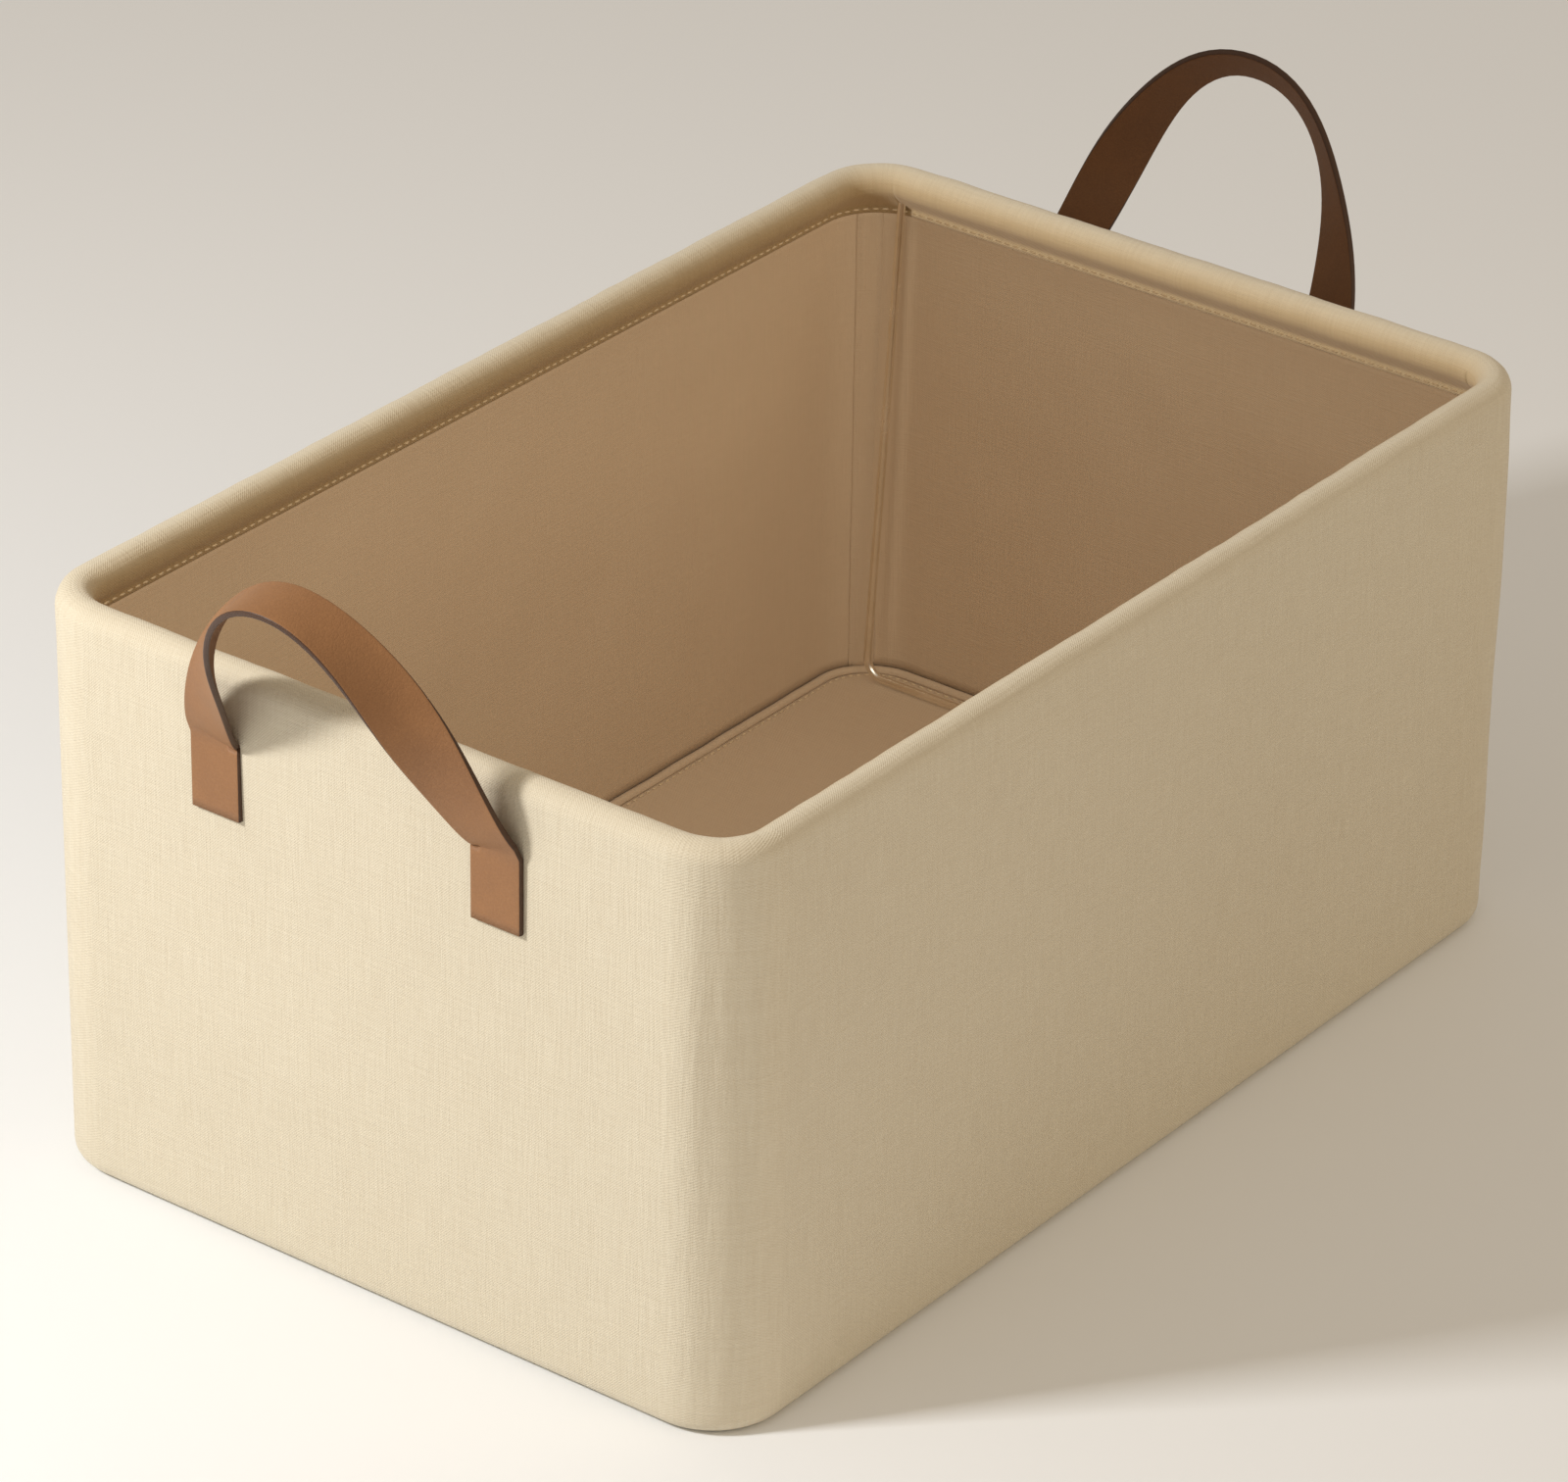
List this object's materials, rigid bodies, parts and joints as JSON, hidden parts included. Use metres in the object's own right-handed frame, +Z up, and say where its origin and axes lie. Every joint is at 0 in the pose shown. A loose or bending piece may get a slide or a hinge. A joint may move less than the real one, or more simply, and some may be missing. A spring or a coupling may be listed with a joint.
{
  "type": "fabric storage bin",
  "caption": "Open rectangular cloth bin held up by a wire rim and folding wire end supports, with a carrying strap loop on each short end.",
  "frame": {"origin": "centre of the underside", "axes": "+X along the length towards the right-hand handle, +Y towards the back, +Z up"},
  "size_m": [0.4882, 0.26, 0.247],
  "materials": {
    "outer_fabric": "woven",
    "lining": "woven",
    "binding": "woven tape",
    "thread": "thread",
    "backing": "non-woven",
    "board": "pressed fibre",
    "wire": "polished",
    "clip": "satin",
    "strap": "smooth"
  },
  "bodies": {
    "box": {"outer_fabric": "outer_fabric", "base_fabric": "outer_fabric", "base_board": "board", "floor_lining": "lining", "floor_binding": "binding", "floor_stitching": "thread", "hem_stitching": "thread", "lining_front": "lining", "lining_back": "lining", "lining_left": "lining", "lining_right": "lining", "corner_binding_front_left": "binding", "corner_binding_front_right": "binding", "corner_binding_back_left": "binding", "corner_binding_back_right": "binding", "rim_frame": "wire", "frame_clips": "clip", "tab_backing_left_front": "backing", "handle_tab_left_front": "strap", "tab_backing_left_back": "backing", "handle_tab_left_back": "strap", "tab_backing_right_front": "backing", "handle_tab_right_front": "strap", "tab_backing_right_back": "backing", "handle_tab_right_back": "strap"},
    "support_left": {"support_frame_left": "wire"},
    "support_right": {"support_frame_right": "wire"},
    "handle_left": {"handle_loop_left": "strap"},
    "handle_right": {"handle_loop_right": "strap"}
  },
  "joints": [
    {"name": "support_left_fold", "type": "hinge", "parent": "box", "child": "support_left", "pos_m": [-0.1964, 0, 0.1835], "axis": [0, -1, 0], "range_deg": [0, 87]},
    {"name": "handle_left_swing", "type": "hinge", "parent": "box", "child": "handle_left", "pos_m": [-0.2043, 0.0035, 0.168], "axis": [0, -1, 0], "range_deg": [-30, 140]},
    {"name": "support_right_fold", "type": "hinge", "parent": "box", "child": "support_right", "pos_m": [0.1964, 0, 0.1835], "axis": [0, 1, 0], "range_deg": [0, 87]},
    {"name": "handle_right_swing", "type": "hinge", "parent": "box", "child": "handle_right", "pos_m": [0.2043, 0.0035, 0.168], "axis": [0, 1, 0], "range_deg": [-30, 140]}
  ]
}
